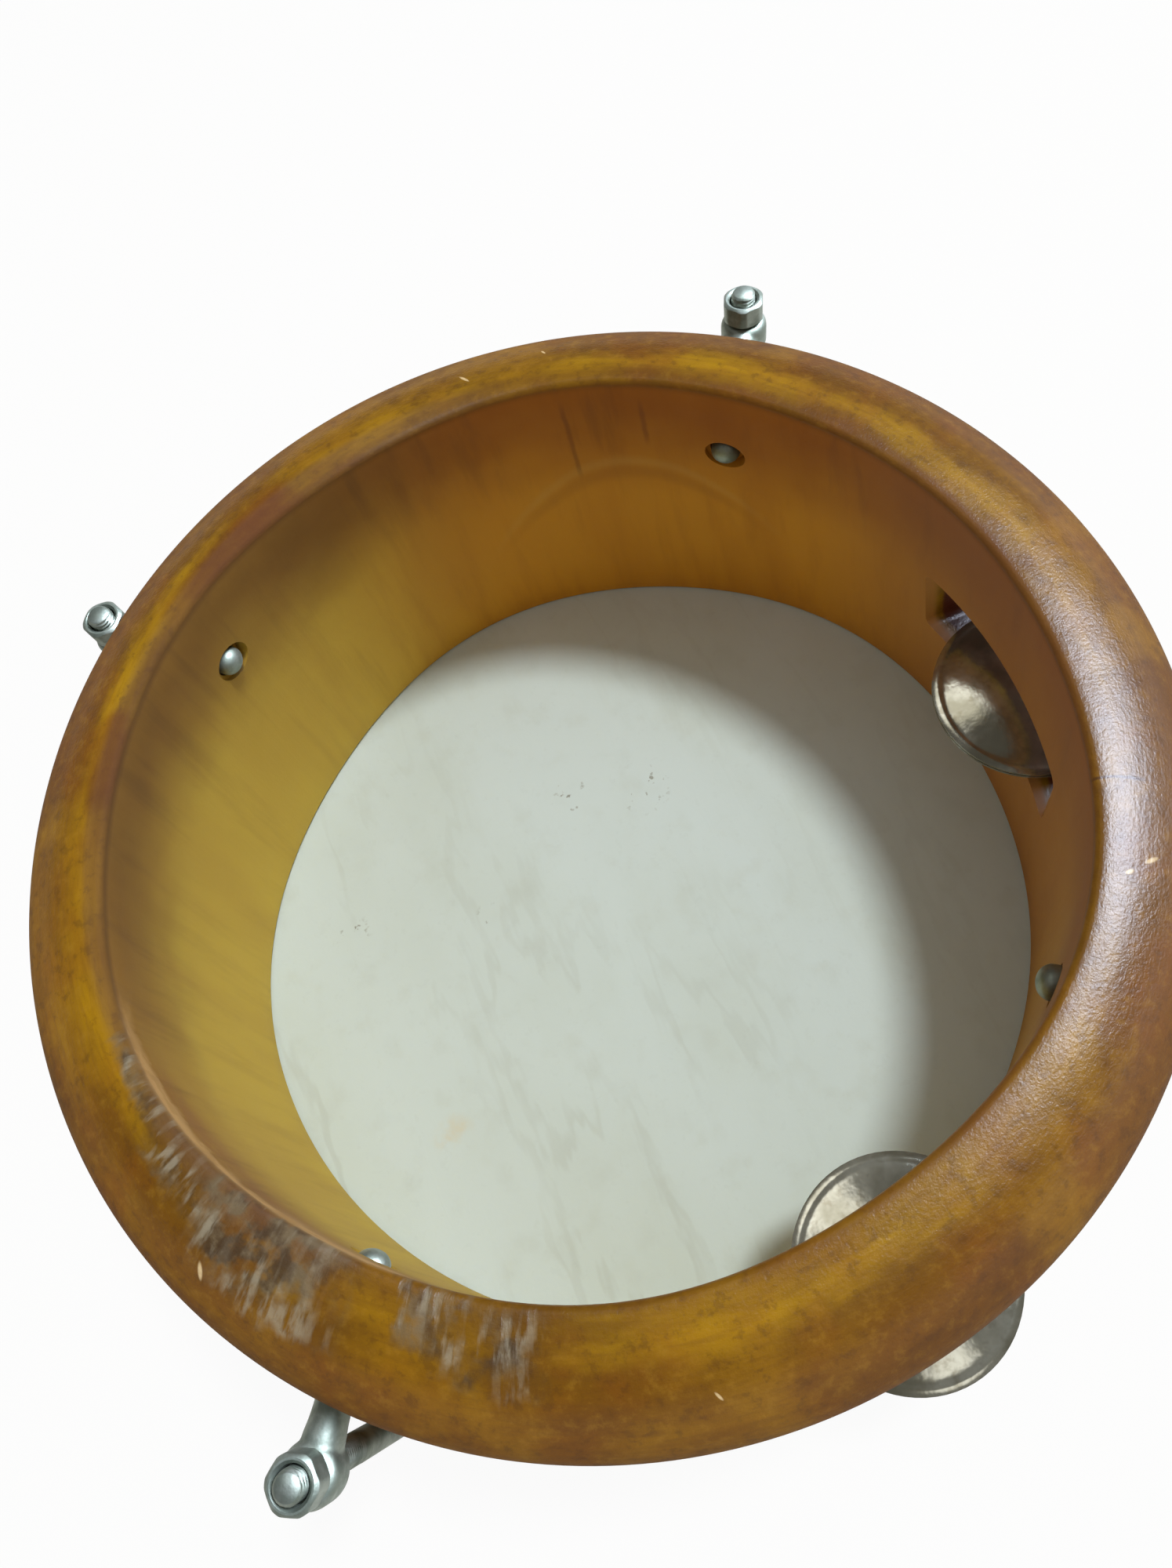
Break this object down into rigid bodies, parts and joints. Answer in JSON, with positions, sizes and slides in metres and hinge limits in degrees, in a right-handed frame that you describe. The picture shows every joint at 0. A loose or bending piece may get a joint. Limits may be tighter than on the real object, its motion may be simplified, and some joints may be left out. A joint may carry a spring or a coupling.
{
  "type": "kanjira",
  "caption": "Hand frame drum with a turned wooden shell, a rawhide head tuned by hooks and nuts, and loose metal jingles in slots through the wall.",
  "frame": {"origin": "centre of the head's outer face, on the surface that the drum rests on", "axes": "+Z along the drum's axis towards the open rim; a jingle slot lies near +X and one near -Y"},
  "size_m": [0.2155, 0.2142, 0.0859],
  "materials": {
    "stained_wood": "glossy varnish over a golden-brown stain",
    "rawhide": "matte natural rawhide",
    "iron_wire": "plain drawn wire",
    "zinc_plated_steel": "dull zinc plate",
    "jingle_alloy": "polished pale brass"
  },
  "bodies": {
    "drum": {"wood_shell": "stained_wood", "drumhead_skin": "rawhide", "eye_bolt_1": "zinc_plated_steel", "eye_bolt_2": "zinc_plated_steel", "eye_bolt_3": "zinc_plated_steel", "eye_bolt_4": "zinc_plated_steel", "jingle_pin_1": "zinc_plated_steel", "jingle_pin_2": "zinc_plated_steel"},
    "tension_ring": {"counter_hoop": "zinc_plated_steel", "flesh_hoop": "iron_wire", "tension_hook_1": "zinc_plated_steel", "tension_hook_2": "zinc_plated_steel", "tension_hook_3": "zinc_plated_steel", "tension_hook_4": "zinc_plated_steel"},
    "nut_1": {"tension_nut_1": "zinc_plated_steel"},
    "nut_2": {"tension_nut_2": "zinc_plated_steel"},
    "nut_3": {"tension_nut_3": "zinc_plated_steel"},
    "nut_4": {"tension_nut_4": "zinc_plated_steel"},
    "jingle_1_lower": {"jingle_1_lower": "jingle_alloy"},
    "jingle_1_upper": {"jingle_1_upper": "jingle_alloy"},
    "jingle_2_lower": {"jingle_2_lower": "jingle_alloy"},
    "jingle_2_upper": {"jingle_2_upper": "jingle_alloy"}
  },
  "joints": [
    {"name": "nut_1_turn", "type": "hinge", "parent": "drum", "child": "nut_1", "pos_m": [0.07446, 0.08596, 0.06889], "axis": [0.0561, 0.0648, 0.9963], "range_deg": [-540, 540]},
    {"name": "nut_2_turn", "type": "hinge", "parent": "drum", "child": "nut_2", "pos_m": [-0.07253, 0.07998, 0.0689], "axis": [0.0056, -0.0061, 1], "range_deg": [-540, 540]},
    {"name": "nut_3_turn", "type": "hinge", "parent": "drum", "child": "nut_3", "pos_m": [-0.07836, -0.07946, 0.06889], "axis": [-0.0359, -0.0364, 0.9987], "range_deg": [-540, 540]},
    {"name": "nut_4_turn", "type": "hinge", "parent": "drum", "child": "nut_4", "pos_m": [0.07946, -0.07836, 0.06889], "axis": [0.0364, -0.0359, 0.9987], "range_deg": [-540, 540]},
    {"name": "head_tension", "type": "slide", "parent": "drum", "child": "tension_ring", "axis": [0, 0, 1], "range_m": [-0.0012, 0.0012], "deforming": ["drumhead_skin"]},
    {"name": "jingle_1_rattle", "type": "slide", "parent": "drum", "child": "jingle_1_lower", "axis": [-0.0145, 0.001, 0.9999], "range_m": [0, 0.0055]},
    {"name": "jingle_1_clap", "type": "slide", "parent": "jingle_1_lower", "child": "jingle_1_upper", "axis": [-0.0145, 0.001, 0.9999], "range_m": [0, 0.0055]},
    {"name": "jingle_2_rattle", "type": "slide", "parent": "drum", "child": "jingle_2_lower", "axis": [-0.0026, 0.0143, 0.9999], "range_m": [0, 0.0055]},
    {"name": "jingle_2_clap", "type": "slide", "parent": "jingle_2_lower", "child": "jingle_2_upper", "axis": [-0.0026, 0.0143, 0.9999], "range_m": [0, 0.0055]}
  ],
  "couplings": [
    {"joint": "nut_1_turn", "follows": "head_tension", "rad_per_m": -7854},
    {"joint": "nut_2_turn", "follows": "head_tension", "rad_per_m": -7854},
    {"joint": "nut_3_turn", "follows": "head_tension", "rad_per_m": -7854},
    {"joint": "nut_4_turn", "follows": "head_tension", "rad_per_m": -7854}
  ]
}
